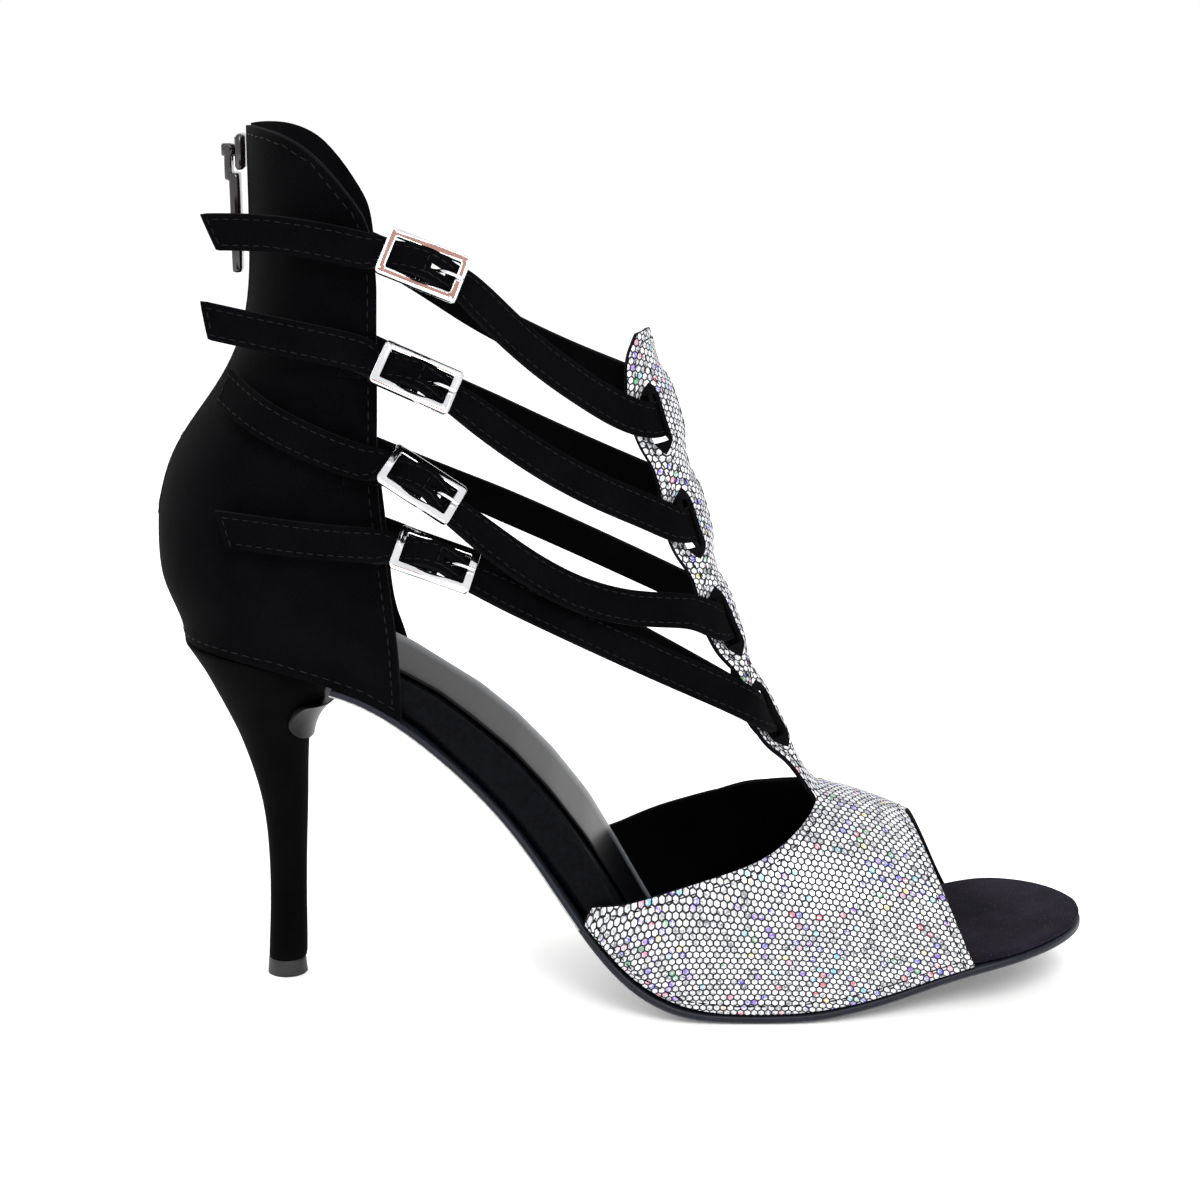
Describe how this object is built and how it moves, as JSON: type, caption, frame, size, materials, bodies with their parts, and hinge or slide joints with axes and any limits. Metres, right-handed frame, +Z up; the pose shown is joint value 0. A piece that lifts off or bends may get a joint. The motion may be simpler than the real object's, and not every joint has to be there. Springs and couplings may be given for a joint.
{
  "type": "ballroom dance shoe",
  "caption": "Open-toed, high-heeled ballroom dance sandal for the right foot: glitter vamp with a slotted T-bar, tall suede counter and buckled straps.",
  "frame": {"origin": "centre of the heel tip on the floor", "axes": "+X towards the toe, +Y towards the inner side of this right shoe, +Z up"},
  "size_m": [0.2302, 0.0769, 0.2133],
  "materials": {
    "outsole": "thin suede leather, dark navy-grey edge",
    "breast_flap": "smooth grey sole leather",
    "insole": "black suede cover",
    "sock_liner": "glossy grey coated leather",
    "heel": "black suede cover over a hard block",
    "top_piece": "black wearing tip",
    "vamp": "silver glitter under a black net, black lining",
    "counter": "black suede",
    "strap_1": "black suede strap, edge-stitched",
    "chape_1": "black suede loop",
    "buckle_1": "bright chrome plate",
    "prong_1": "bright chrome plate",
    "strap_2": "black suede strap, edge-stitched",
    "chape_2": "black suede loop",
    "buckle_2": "bright chrome plate",
    "prong_2": "bright chrome plate",
    "strap_3": "black suede strap, edge-stitched",
    "chape_3": "black suede loop",
    "buckle_3": "bright chrome plate",
    "prong_3": "bright chrome plate",
    "strap_4": "black suede strap, edge-stitched",
    "chape_4": "black suede loop",
    "buckle_4": "bright chrome plate",
    "prong_4": "bright chrome plate",
    "zip_tape": "woven black tape",
    "zip_chain": "black moulded coil",
    "zip_slider": "dark glossy enamel",
    "zip_pull": "dark glossy enamel"
  },
  "bodies": {
    "shoe": {"outsole": "outsole", "breast_flap": "breast_flap", "insole": "insole", "sock_liner": "sock_liner", "heel": "heel", "top_piece": "top_piece", "vamp": "vamp", "counter": "counter", "strap_1": "strap_1", "chape_1": "chape_1", "buckle_1": "buckle_1", "prong_1": "prong_1", "strap_2": "strap_2", "chape_2": "chape_2", "buckle_2": "buckle_2", "prong_2": "prong_2", "strap_3": "strap_3", "chape_3": "chape_3", "buckle_3": "buckle_3", "prong_3": "prong_3", "strap_4": "strap_4", "chape_4": "chape_4", "buckle_4": "buckle_4", "prong_4": "prong_4", "zip_tape": "zip_tape", "zip_chain": "zip_chain", "zip_slider": "zip_slider"},
    "zip_pull": {"zip_pull": "zip_pull"}
  },
  "joints": [
    {"name": "pull_swing", "type": "hinge", "parent": "shoe", "child": "zip_pull", "pos_m": [-0.0084, 0, 0.2072], "axis": [0, 1, 0], "range_deg": [0, 150]}
  ]
}
